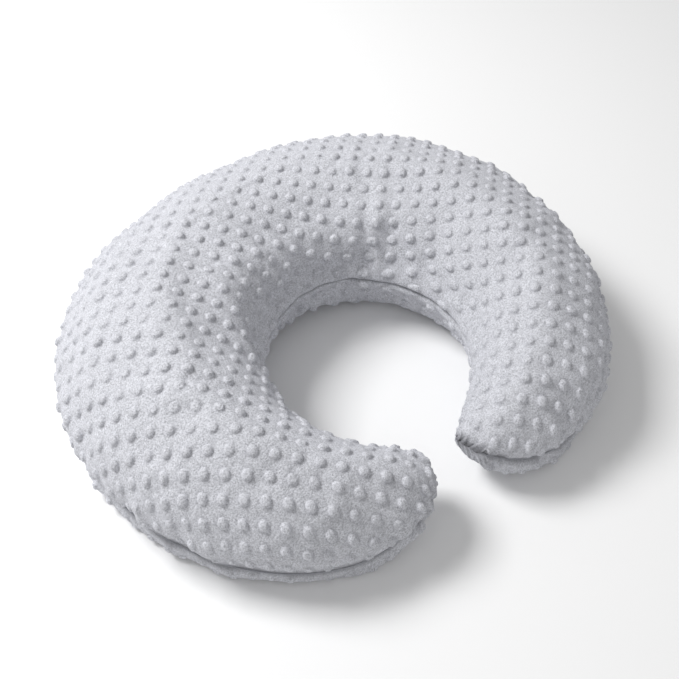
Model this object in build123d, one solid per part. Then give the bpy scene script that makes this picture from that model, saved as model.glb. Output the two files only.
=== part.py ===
from build123d import *
from math import asin, atan2, cos, degrees, pi, radians, sin, sqrt
import os

# Nursing pillow: a C-shaped, fibre-filled case inside a zipped slip cover.
# Millimetres, +Z up. The pillow lies on its flat underside with its mouth towards -Y.
# Every outline is drawn about the centre of the waist hollow and moved at the end, so that
# the origin is under the middle of the finished pillow.

# ---- overall shape -------------------------------------------------------------------------
overall_width = 540.0         # across both arms, before they narrow
back_reach = 274.0            # waist hollow's centre to the outermost point of the back
back_arc_radius = 294.0       # the flatter outer curve of the back
side_arc_radius = 243.0       # the rounder outer curve of each side and arm
waist_radius = 95.5           # the round part of the waist hollow
waist_half_arc = radians(147)  # the waist is round this far each way, then its edges run straight
narrowing_start = radians(40)  # direction, from +Y, from which an arm narrows
arm_half_arc = radians(170.5)  # direction of an arm's tip
tip_bluntness = 2.9           # higher keeps an arm wide for longer
tip_width = 16.0              # width of the blunt end of an arm

seam_height = 60.0            # the two panels meet at this height
back_rise = 83.0              # top of the back above the seam
arm_rise_share = 0.66         # an arm's rise near its tip, as a share of the back's
fullness = 0.90               # how boxy the rounded cross-section is
lower_fullness = 0.97         # the same for the flanks of the lower panel
underside_share = 0.52        # flat part of the underside, as a share of the width
tip_lift = 6.0                # higher keeps the underside on the floor nearer to the tips
pressed_depth = 1.5           # the pillow's weight presses this much of its underside flat
flank_drop = 0.6              # height of a lower flank's bend, as a share of the depth
tip_crowding = 0.85           # 0 spaces the sections evenly, 1 crowds them towards the tips

# ---- cover ---------------------------------------------------------------------------------
cover_thickness = 2.0         # plush with its backing
allowance_width = 9.0         # seam allowance, turned inside
allowance_thickness = 1.2     # one layer of allowance, pile crushed
stitch_inset = 3.5            # row of stitches, from the cover's edge
thread_thickness = 0.6
seam_lap = 5.0                # a panel's solid is drawn this far past the seam before it is trimmed
overlock_width = 1.4          # thread wrapped round the raw edge of the allowances
layer_gap = 0.3               # clearance between one layer and the next

# ---- inner case and filling ------------------------------------------------------------------
case_thickness = 0.8          # woven cotton
case_edge_gap = 3.0           # case seam to the cover's overlocked edge
case_allowance_width = 8.0
fill_edge_gap = 2.0           # filling to the case's allowances

# ---- zip in the back seam ----------------------------------------------------------------------
zip_half_arc = radians(26)    # half the opening, seen from the back arc's centre
lip_gap = 3.4                 # half the slot between the cover's lips
tape_thickness = 0.5
tape_height = 11.0            # each tape, from its coil outwards
zip_stitch_height = 6.0       # row of stitches that holds a tape to its lip, from the seam
coil_thickness = 1.5
coil_inner_edge = 0.8         # half the gap that the slider's web passes through
coil_outer_edge = 2.6
lip_depth = 2.7               # the lips' inner faces, from the back's outline
slider_length = 9.0
slider_half_width = 4.2
slider_plate = 0.8
slider_flange = 1.0
slider_web_length = 2.5
web_half_width = 0.5
slide_gap = 0.3               # running clearance round the slider and the pull
stop_thickness = 0.4          # end stops, clamped on the outside of the coils
bridge_length = 5.0
bridge_half_width = 1.2
bridge_height = 2.3
pull_pin_radius = 0.5
pull_pin_clearance = 0.08     # radial, in the bridge's eye
pull_length = 22.0
pull_half_width = 2.6
pull_thickness = 1.0
pull_corner_share = 0.4       # rounding of the pull's corners, as a share of its half width
fork_web = 1.0                # solid part of the pull's fork, past the bridge
pin_seat = 0.2                # each end of the pin sits this far into the fork
stop_length = 2.0
tack_length = 3.0             # bar tack that closes the seam at each end of the zip
tack_gap = 0.7                # bar tack to the panels' inner faces
zip_travel_margin = 2.0       # left free at each end of the slider's travel

# ---- care label ------------------------------------------------------------------------------
label_direction = radians(48)  # where the label is sewn into the outer seam
label_width = 26.0
label_length = 34.0
label_thickness = 0.4

# ---- outline: two arcs outside, an arc and two straight edges inside ---------------------------
side_centre_x = overall_width / 2 - side_arc_radius
join_angle = asin(side_centre_x / (back_arc_radius - side_arc_radius))
back_centre_y = back_reach - back_arc_radius
side_centre_y = back_centre_y + (back_arc_radius - side_arc_radius) * cos(join_angle)
join_direction = atan2(back_arc_radius * sin(join_angle),
                       back_centre_y + back_arc_radius * cos(join_angle))


def ray_to_arc(angle, centre_x, centre_y, radius):
    """Distance from the waist's centre to an outer arc, in the direction of angle."""
    along = sin(angle) * centre_x + cos(angle) * centre_y
    return along + sqrt(radius ** 2 - centre_x ** 2 - centre_y ** 2 + along ** 2)


def narrowing(direction):
    """0 over the back, 1 at an arm's tip."""
    return min(max(abs(direction) - narrowing_start, 0) / (arm_half_arc - narrowing_start), 1)


def outline(direction):
    """Inner radius, outer radius and taper of the seam's outline at a direction from +Y."""
    angle = abs(direction)
    inner = waist_radius / cos(max(angle - waist_half_arc, 0))
    if angle < join_direction:
        full = ray_to_arc(angle, 0, back_centre_y, back_arc_radius)
    else:
        full = ray_to_arc(angle, side_centre_x, side_centre_y, side_arc_radius)
    taper = (1 - narrowing(direction) ** 2) ** (1 / tip_bluntness)
    return inner, inner + (full - inner) * taper, taper


def place(direction, reach, height):
    """Point at a distance from the waist's centre and a height above the seam."""
    return Vector(reach * sin(direction), reach * cos(direction), seam_height + height)


def upper_section(direction, edge_inset, face_inset):
    """Section above the seam, of a layer whose seam edge and faces lie inside the cover's."""
    inner, outer, taper = outline(direction)
    middle = (inner + outer) / 2
    half_width = (outer - inner) / 2 - edge_inset
    flank = (outer - inner) / 2 * fullness - face_inset
    share = (direction / arm_half_arc) ** 2
    rise = back_rise * (1 - (1 - arm_rise_share) * share) * taper - face_inset
    # A cubic's height is 3/4 of its middle control points' height.
    controls = [(-half_width, 0), (-flank, rise * 4 / 3), (flank, rise * 4 / 3), (half_width, 0)]
    arch = Edge.make_bezier(*[place(direction, middle + x, z) for x, z in controls])
    corners = [place(direction, middle + x, z) for x, z in
               ((half_width, 0), (half_width, -seam_lap), (-half_width, -seam_lap), (-half_width, 0))]
    return Wire([arch] + [Edge.make_line(*pair) for pair in zip(corners, corners[1:])])


def lower_section(direction, edge_inset, face_inset):
    """Section below the seam: two rounded flanks and a flat underside."""
    inner, outer, taper = outline(direction)
    middle = (inner + outer) / 2
    half_width = (outer - inner) / 2 - edge_inset
    flank = (outer - inner) / 2 * lower_fullness - face_inset
    flat = (outer - inner) / 2 * underside_share
    lift = (1 - narrowing(direction) ** tip_lift) ** (1 / tip_bluntness)
    depth = (seam_height + pressed_depth) * lift - face_inset
    controls = [(half_width, 0), (flank, -flank_drop * depth), ((flank + flat) / 2, -depth), (flat, -depth)]
    outer_flank = Edge.make_bezier(*[place(direction, middle + x, z) for x, z in controls])
    inner_flank = Edge.make_bezier(*[place(direction, middle - x, z) for x, z in reversed(controls)])
    underside = Edge.make_line(outer_flank @ 1, inner_flank @ 0)
    corners = [place(direction, middle + x, z) for x, z in
               ((-half_width, 0), (-half_width, seam_lap), (half_width, seam_lap), (half_width, 0))]
    return Wire([outer_flank, underside, inner_flank]
                + [Edge.make_line(*pair) for pair in zip(corners, corners[1:])])


def last_direction(edge_inset, face_inset):
    """The direction at which a layer has narrowed to its blunt end."""
    low, high = waist_half_arc, arm_half_arc
    for _ in range(40):
        middle = (low + high) / 2
        inner, outer, _taper = outline(middle)
        if outer - inner > tip_width + 2 * edge_inset:
            low = middle
        else:
            high = middle
    return low - face_inset / waist_radius


def directions(edge_inset, face_inset, stations=12):
    """Directions of a layer's sections, from one arm's tip to the other's."""
    end = last_direction(edge_inset, face_inset)
    # Sections crowd towards the tips, where the width changes fastest.
    even = [k / stations for k in range(stations + 1)]
    half = [end * (tip_crowding * sin(k * pi / 2) + (1 - tip_crowding) * k) for k in even]
    return [-angle for angle in reversed(half[1:])] + half


def slab(low, high):
    """Everything between two heights, measured from the seam."""
    size = 2 * overall_width
    return Pos(0, 0, seam_height + low) * Box(size, size, high - low,
                                              align=(Align.CENTER, Align.CENTER, Align.MIN))


def upper_layer(edge_inset, face_inset, above=0.0):
    """Part of a layer above a height over the seam."""
    sections = [upper_section(angle, edge_inset, face_inset) for angle in directions(edge_inset, face_inset)]
    return Solid.make_loft(sections) & slab(above, 2 * back_rise)


def lower_layer(edge_inset, face_inset, below=0.0):
    """Part of a layer below a height over the seam, cut flat where the pillow rests."""
    sections = [lower_section(angle, edge_inset, face_inset) for angle in directions(edge_inset, face_inset)]
    return Solid.make_loft(sections) & slab(face_inset - seam_height, below)


def plate(edge_inset, face_inset, low, high):
    """Flat plate between two heights, with the outline that the seam has at an edge inset."""
    angles = directions(edge_inset, face_inset)
    rims = [(outline(angle)[0] + edge_inset, outline(angle)[1] - edge_inset) for angle in angles]
    inner_rim = Edge.make_spline([place(a, rim[0], low) for a, rim in zip(angles, rims)])
    outer_rim = Edge.make_spline([place(a, rim[1], low) for a, rim in zip(angles, rims)])
    ends = [Edge.make_line(inner_rim @ 1, outer_rim @ 1), Edge.make_line(outer_rim @ 0, inner_rim @ 0)]
    return extrude(Face(Wire([inner_rim, outer_rim] + ends)), high - low, dir=(0, 0, 1))


def ring(outer_edge, inner_edge, face_inset, low, high):
    """Flat ring that follows the seam, between two edge insets and two heights."""
    return plate(outer_edge, face_inset, low, high) - plate(inner_edge, face_inset, low - 1, high + 1)


# ---- parts that follow the back's outline --------------------------------------------------------
zip_axis = Pos(0, back_centre_y, 0)


def band(depth_out, depth_in, low, high, start, end):
    """Curved bar on the back's arc: depths inwards from the outline, heights from the seam,
    and its two ends as directions from +Y, seen from the back arc's centre."""
    width = depth_in - depth_out
    profile = Plane.XZ * Pos(back_arc_radius - depth_out - width / 2, seam_height + (low + high) / 2) \
        * Rectangle(width, high - low)
    swept = revolve(profile, Axis.Z, degrees(end - start))
    return zip_axis * Rot(0, 0, 90 - degrees(end)) * swept


def arc(length):
    """Angle that a length covers on the back's arc."""
    return length / back_arc_radius


# ---- layers -----------------------------------------------------------------------------------
allowance_inner = cover_thickness + allowance_width
overlock_inner = allowance_inner + overlock_width
case_edge = overlock_inner + case_edge_gap
case_face = cover_thickness + layer_gap
case_allowance_inner = case_edge + case_thickness + case_allowance_width
fill_edge = case_allowance_inner + fill_edge_gap
fill_face = case_face + case_thickness + layer_gap

# The allowances stop where the zip's tapes take over.
zip_end = zip_half_arc + arc(tack_length)
zip_room = band(-cover_thickness, case_edge, -tape_height, tape_height, -zip_end, zip_end)
zip_slot = band(-cover_thickness, case_edge, -lip_gap, lip_gap, -zip_half_arc, zip_half_arc)

cover_allowances = ring(cover_thickness / 2, allowance_inner, cover_thickness / 2,
                        -allowance_thickness, allowance_thickness) - zip_room
cover_top_panel = upper_layer(0, 0) - zip_slot - upper_layer(cover_thickness, cover_thickness, -1) \
    + (cover_allowances & slab(0, 2 * allowance_thickness))
cover_bottom_panel = lower_layer(0, 0) - zip_slot - lower_layer(cover_thickness, cover_thickness, 1) \
    + (cover_allowances & slab(-2 * allowance_thickness, 0))


def stitch_row(edge, face_inset, allowance):
    """A row of stitches on both faces of a pair of allowances."""
    inner = edge + thread_thickness
    upper = ring(edge, inner, face_inset, allowance, allowance + thread_thickness)
    lower = ring(edge, inner, face_inset, -allowance - thread_thickness, -allowance)
    return upper + lower


cover_seam_stitching = stitch_row(stitch_inset, cover_thickness, allowance_thickness) - zip_room
cover_overlock_thread = ring(allowance_inner, overlock_inner, cover_thickness / 2,
                             -allowance_thickness, allowance_thickness) - zip_room

case_inner_edge = case_edge + case_thickness
case_inner_face = case_face + case_thickness
case_allowances = ring(case_edge + case_thickness / 2, case_allowance_inner, case_face + case_thickness / 2,
                       -case_thickness, case_thickness)
inner_case_top = upper_layer(case_edge, case_face) - upper_layer(case_inner_edge, case_inner_face, -1) \
    + (case_allowances & slab(0, 2 * case_thickness))
inner_case_bottom = lower_layer(case_edge, case_face) - lower_layer(case_inner_edge, case_inner_face, 1) \
    + (case_allowances & slab(-2 * case_thickness, 0))
inner_case_stitching = stitch_row(case_edge + stitch_inset, case_inner_face, case_thickness)

# The lower part laps up inside the upper one, so that the two make one solid.
fibre_fill = upper_layer(fill_edge, fill_face) + lower_layer(fill_edge + layer_gap, fill_face, seam_lap / 2)

# ---- zip: stack of depths, from the lips inwards ---------------------------------------------------
plate_out = lip_depth + slide_gap
coil_out = plate_out + slider_plate + slide_gap
coil_in = coil_out + coil_thickness
tape_out = coil_out + (coil_thickness - tape_thickness) / 2
tape_in = tape_out + tape_thickness
inner_plate = coil_in + slide_gap

coil_upper = band(coil_out, coil_in, coil_inner_edge, coil_outer_edge, -zip_half_arc, zip_half_arc)
coil_lower = band(coil_out, coil_in, -coil_outer_edge, -coil_inner_edge, -zip_half_arc, zip_half_arc)
tape_top = coil_outer_edge + tape_height
tape_upper = band(tape_out, tape_in, coil_outer_edge, tape_top, -zip_end, zip_end)
tape_lower = band(tape_out, tape_in, -tape_top, -coil_outer_edge, -zip_end, zip_end)

# One row of stitches holds each tape to the lip in front of it.
zip_stitch_depth = tape_out - lip_depth - layer_gap


def zip_stitches(height):
    return band(tape_out - zip_stitch_depth, tape_out, height - thread_thickness / 2,
                height + thread_thickness / 2, -zip_half_arc, zip_half_arc)


stop_arc = arc(stop_length)
slider_arc = arc(slider_length)
closed_end = zip_half_arc - stop_arc
stop_out = coil_out - stop_thickness
top_stops = Compound(children=[
    band(stop_out, coil_out, coil_inner_edge, coil_outer_edge, closed_end, zip_half_arc),
    band(stop_out, coil_out, -coil_outer_edge, -coil_inner_edge, closed_end, zip_half_arc)])
bottom_stop = band(stop_out, coil_out, -coil_outer_edge, coil_outer_edge,
                   -zip_half_arc, -zip_half_arc + stop_arc)

# Two bar tacks, from one lip's allowance to the other's, just past the ends of the slot.
bar_tacks = Compound(children=[
    band(cover_thickness + tack_gap, tape_out, -lip_gap, lip_gap, start, start + arc(tack_length))
    for start in (-zip_end, zip_half_arc)])

# The slider rests at the closed end, on the +X side.
slider_end = closed_end - arc(zip_travel_margin)
slider_start = slider_end - slider_arc
slot_out = tape_out - slide_gap
slot_in = tape_in + slide_gap
flange_inner = slider_half_width - slider_flange
plates = band(plate_out, plate_out + slider_plate, -slider_half_width, slider_half_width,
              slider_start, slider_end) \
    + band(inner_plate, inner_plate + slider_plate, -slider_half_width, slider_half_width,
           slider_start, slider_end)
for side in (1, -1):
    low, high = sorted((side * flange_inner, side * slider_half_width))
    plates += band(plate_out, slot_out, low, high, slider_start, slider_end)
    plates += band(slot_in, inner_plate + slider_plate, low, high, slider_start, slider_end)
web = band(plate_out, inner_plate + slider_plate, -web_half_width, web_half_width,
           slider_end - arc(slider_web_length), slider_end)

pivot_direction = (slider_start + slider_end) / 2
pivot_depth = plate_out - bridge_height / 2
pivot_radius = back_arc_radius - pivot_depth
# The pull lies ahead of the slider in the slot, so its tip comes to the slot's end first.
slider_travel = pivot_direction - pull_length / pivot_radius + zip_half_arc - arc(zip_travel_margin)
eye_radius = pull_pin_radius + pull_pin_clearance
pivot = Pos(pivot_radius * sin(pivot_direction),
            back_centre_y + pivot_radius * cos(pivot_direction), seam_height)
bridge = band(plate_out - bridge_height, plate_out + slider_plate / 2, -bridge_half_width, bridge_half_width,
              pivot_direction - arc(bridge_length) / 2, pivot_direction + arc(bridge_length) / 2)
eye = pivot * Cylinder(eye_radius, 4 * bridge_half_width)
zip_slider = plates + web + bridge - eye

# The pull lies along the zip, towards its middle, forked round the bridge.
fork_gap = bridge_half_width + slide_gap
fork_length = bridge_length / 2 + slide_gap + fork_web
towards_middle = pivot * Rot(0, 0, 180 - degrees(pivot_direction))
tab = Pos(fork_length, 0, 0) * Box(pull_length - fork_length, pull_thickness, 2 * pull_half_width,
                                   align=(Align.MIN, Align.CENTER, Align.CENTER))
tab = fillet(tab.edges().filter_by(Axis.Y), pull_half_width * pull_corner_share)
cheeks = Box(2 * fork_length, pull_thickness, 2 * pull_half_width) \
    - Box(4 * fork_length, 2 * pull_thickness, 2 * fork_gap)
cheeks -= Pos(-fork_length, 0, 0) * Box(2 * (fork_length - pull_pin_radius * 2), 2 * pull_thickness,
                                        4 * pull_half_width)
pin = Cylinder(pull_pin_radius, 2 * (fork_gap + pin_seat))
zip_pull = towards_middle * (tab + cheeks + pin)

# ---- blank care label, against the inside of the lower panel ----------------------------------------
label_faces = cover_thickness + layer_gap
label_skin = lower_layer(label_faces, label_faces) \
    - lower_layer(label_faces + label_thickness, label_faces + label_thickness, 1)
label_inner, label_outer, _taper = outline(label_direction)
label_block = Rot(0, 0, -degrees(label_direction)) \
    * Pos(0, (label_inner + label_outer) / 2, seam_height - allowance_thickness - layer_gap) \
    * Box(label_width, overall_width, label_length, align=(Align.CENTER, Align.MIN, Align.MAX))
care_label = label_skin & label_block

# ---- write one file for each node ---------------------------------------------------------------------
nodes = {
    "cover_top_panel": cover_top_panel,
    "cover_bottom_panel": cover_bottom_panel,
    "cover_seam_stitching": cover_seam_stitching,
    "cover_overlock_thread": cover_overlock_thread,
    "inner_case_top": inner_case_top,
    "inner_case_bottom": inner_case_bottom,
    "inner_case_stitching": inner_case_stitching,
    "fibre_fill": fibre_fill,
    "zip_tape_upper": tape_upper,
    "zip_tape_lower": tape_lower,
    "zip_coil_upper": coil_upper,
    "zip_coil_lower": coil_lower,
    "zip_stitching_upper": zip_stitches(zip_stitch_height),
    "zip_stitching_lower": zip_stitches(-zip_stitch_height),
    "zip_top_stops": top_stops,
    "zip_bottom_stop": bottom_stop,
    "zip_bar_tacks": bar_tacks,
    "zip_slider": zip_slider,
    "zip_pull": zip_pull,
    "care_label": care_label,
}

front_reach = min(outline(angle)[1] * cos(angle) for angle in
                  [last_direction(0, 0) * k / 1000 for k in range(1001)])
centre_y = (back_reach + front_reach) / 2
os.makedirs("parts", exist_ok=True)
for name, shape in nodes.items():
    export_step(Pos(0, -centre_y, 0) * shape, f"parts/{name}.step")

print("waist centre y", -centre_y)
print("slider axis y", back_centre_y - centre_y, "travel", degrees(slider_travel))
print("pull pivot", pivot.position.X, pivot.position.Y - centre_y, pivot.position.Z)
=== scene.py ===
from math import asin, atan2, cos, pi, radians, sin, sqrt

import bpy
import numpy as np
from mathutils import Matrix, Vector
from mathutils.geometry import delaunay_2d_cdt
from mathutils.kdtree import KDTree


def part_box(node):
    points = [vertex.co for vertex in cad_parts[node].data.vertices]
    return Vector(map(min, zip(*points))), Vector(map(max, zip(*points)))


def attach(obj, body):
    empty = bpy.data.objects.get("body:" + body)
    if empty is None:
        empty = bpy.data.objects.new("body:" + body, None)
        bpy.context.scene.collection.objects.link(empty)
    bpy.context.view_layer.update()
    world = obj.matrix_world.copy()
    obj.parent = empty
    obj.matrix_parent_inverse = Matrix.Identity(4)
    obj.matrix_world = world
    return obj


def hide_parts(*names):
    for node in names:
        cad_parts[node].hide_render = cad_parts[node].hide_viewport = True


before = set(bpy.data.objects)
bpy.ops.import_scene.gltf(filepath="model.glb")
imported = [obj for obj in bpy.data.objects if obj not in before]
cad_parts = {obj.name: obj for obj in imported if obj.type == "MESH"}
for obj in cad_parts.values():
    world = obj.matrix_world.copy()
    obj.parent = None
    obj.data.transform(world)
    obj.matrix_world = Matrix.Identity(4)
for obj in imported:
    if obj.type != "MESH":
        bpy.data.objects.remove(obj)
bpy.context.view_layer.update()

bl_info = {
    "name": "Nursing pillow",
    "version": (1, 0, 0),
    "blender": (4, 5, 0),
    "location": "View3D > Sidebar > Nursing pillow",
    "description": "Builds a C-shaped nursing pillow in a raised-dot plush slip cover",
    "category": "Object",
}

# ---- places taken from the frame ----
MM = 0.001
REST_ROUND = 7 * MM           # rounding where the underside leaves the floor
REST_LIFT = 0.9 * MM          # takes out the rounding's lift where the underside is flat
PRESSED = 0.2 * MM            # height of the cover's skin where it rests
COVER_LOW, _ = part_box("cover_top_panel")
SEAM_Z = COVER_LOW.z
_, ZIP_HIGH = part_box("zip_coil_upper")
ZIP_DEPTH = 4.1 * MM          # coils, inside the back's outline
CASE_EDGE, CASE_FACE = 15.4 * MM, 4.6 * MM
CASE_ALLOWANCE = 8 * MM
FILL_EDGE, FILL_FACE = 26.2 * MM, 6.4 * MM
CROWN_TAPER = 1.08            # height shrinks with this power of the width towards a tip
PATTERN_ROWS, PATTERN_COLUMNS = 1201, 241
RIM_SPACING, GROUND_SPACING = 1.7 * MM, 2.4 * MM
LONGEST_EDGE = 9 * MM         # a longer one would bridge the mouth from arm to arm
TURN_IN = (1.0 * MM, 2.2 * MM)   # depths of the cloth turned in behind the seam
# Gathers beside the seams: seed, wavelength, how far in they fade, how far in they start, share.
GATHERS = ((11, 24 * MM, 16 * MM, 5 * MM, 1.0), (21, 13 * MM, 9 * MM, 3 * MM, 0.6))
GROOVE_WIDTH = 1.6 * MM
# How the seam wanders up and down, and in and out: size and wavelength, and how far in it fades.
SEAM_RISE, SEAM_RISE_LENGTH = 1.5 * MM, 26 * MM
SEAM_PUSH, SEAM_PUSH_LENGTH = 0.7 * MM, 30 * MM
WANDER_FADE = 22 * MM
LIP_ROLL, LIP_FADE = 3.1 * MM, 7 * MM   # each lip along the zip
SEWN_IN = 3.8 * MM            # a row of stitches, in from its seam
OVERLOCK_IN = 11.7 * MM       # the overlocked edge, in from the seam
STITCH, OVERLOCK_PITCH = 3 * MM, 2.6 * MM
COIL_WIRE, COIL_PITCH = 0.27 * MM, 1.25 * MM
COIL_DEPTH = 0.75 * MM        # half a coil's width
PILE = 0.85 * MM              # tufts of pile, drawn as coarse as they show
# Where the stuffing swells or shrinks the even outline: width, direction and spread in degrees.
# Along the zip the outline stays even.
OUTLINE_SWELLS = ((9 * MM, -68, 21), (5 * MM, 130, 22))
WAIST_SWELLS = ((6 * MM, 8, 35),)
RISE_SWELLS = ((-2 * MM, -5, 26), (-2 * MM, -60, 30))
FLANK_SWELLS = ((-9 * MM, -2, 30),)
LABEL = (26 * MM, 34 * MM, 0.4 * MM)
LABEL_DIRECTION = radians(48)
BAND = 0.31                   # scale times thread spacing that gives one wave band a thread
TUFT = 0.62                   # scale times pile spacing that gives one light spot a tuft
# Name, place in metres, size in metres and power in watts.
LIGHTS = (("key_light", (-0.75, 0.85, 1.55), 0.7, 31.5), ("fill_light", (-0.9, -1.0, 1.6), 1.8, 3.0))
ROOM_LIGHT = 0.41
UP = np.array([0.0, 0.0, 1.0])


# ---- settings ----
def length(name, description, default):
    return bpy.props.FloatProperty(name=name, description=description, default=default, min=0.0,
                                   subtype="DISTANCE", unit="LENGTH", precision=4)


def place(name, description, default):
    return bpy.props.FloatProperty(name=name, description=description, default=default,
                                   subtype="DISTANCE", unit="LENGTH", precision=5)


def share(name, description, default):
    return bpy.props.FloatProperty(name=name, description=description, default=default, min=0.0,
                                   max=4.0, subtype="FACTOR")


def turn(name, description, default):
    return bpy.props.FloatProperty(name=name, description=description, default=radians(default),
                                   subtype="ANGLE", unit="ROTATION")


def tint(name, description, code):
    return bpy.props.FloatVectorProperty(name=name, description=description, default=linear(code),
                                         size=3, min=0.0, max=1.0, subtype="COLOR")


def linear(code):
    """Linear colour of an sRGB hex code."""
    parts = [int(code[i:i + 2], 16) / 255 for i in (0, 2, 4)]
    return tuple(c / 12.92 if c <= 0.04045 else ((c + 0.055) / 1.055) ** 2.4 for c in parts)


class PillowShape(bpy.types.PropertyGroup):
    waist_centre: place("Waist centre", "Waist hollow's centre along Y", -0.05654)
    waist_radius: length("Waist radius", "Radius of the round waist hollow", 0.0955)
    back_reach: length("Back reach", "Waist's centre to the back's outermost point", 0.274)
    back_arc: length("Back arc", "Radius of the back's outer curve", 0.294)
    side_arc: length("Side arc", "Radius of each side's outer curve", 0.243)
    arm_spread: length("Arm spread", "Middle to each side arc's outermost point", 0.270)
    waist_arc: turn("Waist arc", "The waist is round this far each way", 147.0)
    narrowing_start: turn("Narrowing start", "Direction from which an arm narrows", 40.0)
    tip_direction: turn("Tip direction", "Direction of an arm's tip", 170.5)
    bluntness: bpy.props.FloatProperty(
        name="Bluntness", description="Higher keeps an arm wide for longer", default=2.9, min=1.0, max=6.0)
    back_rise: length("Back rise", "Top of the back above the seam", 0.083)
    underside_drop: length("Underside drop", "How far the lower panel bulges below the seam", 0.0786)
    arm_slump: share("Arm slump", "How much lower an arm's top is near its tip", 0.36)
    seam_slump: length("Seam slump", "How far the seam sinks towards the tips", 0.012)
    outer_sag: length("Outer sag", "How far the outer seam hangs on the arms", 0.032)
    outer_tuck: length("Outer tuck", "How far the hanging seam is tucked under the bulge above it", 0.013)
    sag_start: turn("Sag start", "Direction from which the outer seam sags", 34.0)
    sag_full: turn("Sag full", "Direction at which it hangs lowest", 92.0)
    sag_end: turn("Sag end", "Direction from which it rises to the tip", 140.0)
    upper_fullness: share("Upper fullness", "How boxy the section is above the seam", 0.88)
    lower_fullness: share("Lower fullness", "How boxy the section is below the seam", 0.93)


class PlushCover(bpy.types.PropertyGroup):
    dot_radius: length("Dot radius", "Radius of a raised dot at its foot", 0.0047)
    dot_height: length("Dot height", "Height of a raised dot", 0.0027)
    row_pitch: length("Row pitch", "Distance between two rows of dots", 0.01746)
    row_direction: turn("Row direction", "Direction across the rows, from +X", 135.8)
    column_pitch: length("Column pitch", "Distance between two columns of dots", 0.01682)
    column_direction: turn("Column direction", "Direction across the columns, from +X", 54.35)
    pattern_x: length("Pattern X", "Place of one dot along X on the flat pattern", 0.0053)
    pattern_y: length("Pattern Y", "Place of one dot along Y on the flat pattern", 0.0032)
    pattern_shift: length("Pattern shift", "The cloth's middle lies this far outwards", 0.0042)
    pattern_stretch: share("Pattern stretch", "Share of a panel's width that is laid without stretch", 0.96)
    pucker_height: length("Pucker height", "Height of the gathers beside the outer seam", 0.0023)
    gather_height: length("Gather height", "Height of the gathers over the waist", 0.0012)
    tip_gape: length("Tip gape", "How far each lip rolls away from the left tip's seam", 0.0045)
    groove_depth: length("Groove depth", "How deep the seam is drawn in", 0.0030)
    plush: tint("Plush", "Dyed pile", "D3D4DA")
    backing: tint("Backing", "Knitted ground of the plush", "BEBFC6")
    cotton: tint("Cotton", "Woven inner case", "EDEBE4")
    fibre: tint("Fibre", "Hollow-fibre filling", "F4F4F2")
    thread: tint("Thread", "Sewing thread", "B9BAC2")
    nylon: tint("Nylon", "Zip coils", "B4B5BD")
    satin: tint("Satin", "Blank care label", "F1F1EF")


class StudioStage(bpy.types.PropertyGroup):
    azimuth: turn("Azimuth", "Camera's direction round the pillow", -33.5)
    elevation: turn("Elevation", "Camera's height above the floor", 49.67)
    distance: length("Distance", "Camera to the point it looks at", 0.9506)
    aim_right: place("Aim X", "Point the camera looks at, along X", 0.01805)
    aim_back: place("Aim Y", "Point the camera looks at, from the waist's centre", 0.07585)
    focal: bpy.props.FloatProperty(
        name="Focal length", description="Camera's focal length in millimetres", default=50.24,
        min=20.0, max=200.0)
    floor: tint("Floor", "Plain pale floor", "F7F7F7")


def shape():
    return bpy.context.scene.pillow_shape


def cover():
    return bpy.context.scene.plush_cover


def stage():
    return bpy.context.scene.studio_stage


# ---- the pillow's surface ----
def narrowing(direction):
    """0 over the back, 1 at an arm's tip."""
    s = shape()
    share_in = (np.abs(direction) - s.narrowing_start) / (s.tip_direction - s.narrowing_start)
    return np.clip(share_in, 0, 1)


def swell(direction, swells):
    """Sum of smooth bumps along the pillow."""
    return sum(width * np.exp(-((direction - radians(centre)) / radians(spread)) ** 2)
               for width, centre, spread in swells)


def outline(direction):
    """Inner radius, outer radius and taper of the seam's outline, from the waist's centre."""
    s = shape()
    angle = np.abs(direction)
    inner = s.waist_radius / np.cos(np.maximum(angle - s.waist_arc, 0))
    side_x = s.arm_spread - s.side_arc
    join = asin(side_x / (s.back_arc - s.side_arc))
    back_y = s.back_reach - s.back_arc
    side_y = back_y + (s.back_arc - s.side_arc) * cos(join)
    turnover = atan2(s.back_arc * sin(join), back_y + s.back_arc * cos(join))
    centre_x = np.where(angle < turnover, 0.0, side_x)
    centre_y = np.where(angle < turnover, back_y, side_y)
    radius = np.where(angle < turnover, s.back_arc, s.side_arc)
    along = np.sin(angle) * centre_x + np.cos(angle) * centre_y
    full = along + np.sqrt(radius ** 2 - centre_x ** 2 - centre_y ** 2 + along ** 2)
    full = full + swell(direction, OUTLINE_SWELLS)
    inner = inner + swell(direction, WAIST_SWELLS)
    taper = (1 - narrowing(direction) ** 2) ** (1 / s.bluntness)
    return inner, inner + (full - inner) * taper - s.outer_tuck * sagging(direction) * taper, taper


def sagging(direction):
    """1 where the outer seam hangs lowest, 0 over the back and at the tips."""
    s = shape()
    angle = np.abs(direction)
    return smooth(s.sag_start, s.sag_full, angle) * smooth(s.tip_direction, s.sag_end, angle)


def seam_height(direction, u=0.5):
    """Height of the line between the waist's seam, u = 0, and the outer seam, u = 1, which hangs."""
    s = shape()
    slump = s.seam_slump * (np.abs(direction) / s.tip_direction) ** 3
    return SEAM_Z - slump - s.outer_sag * sagging(direction) * u


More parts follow.
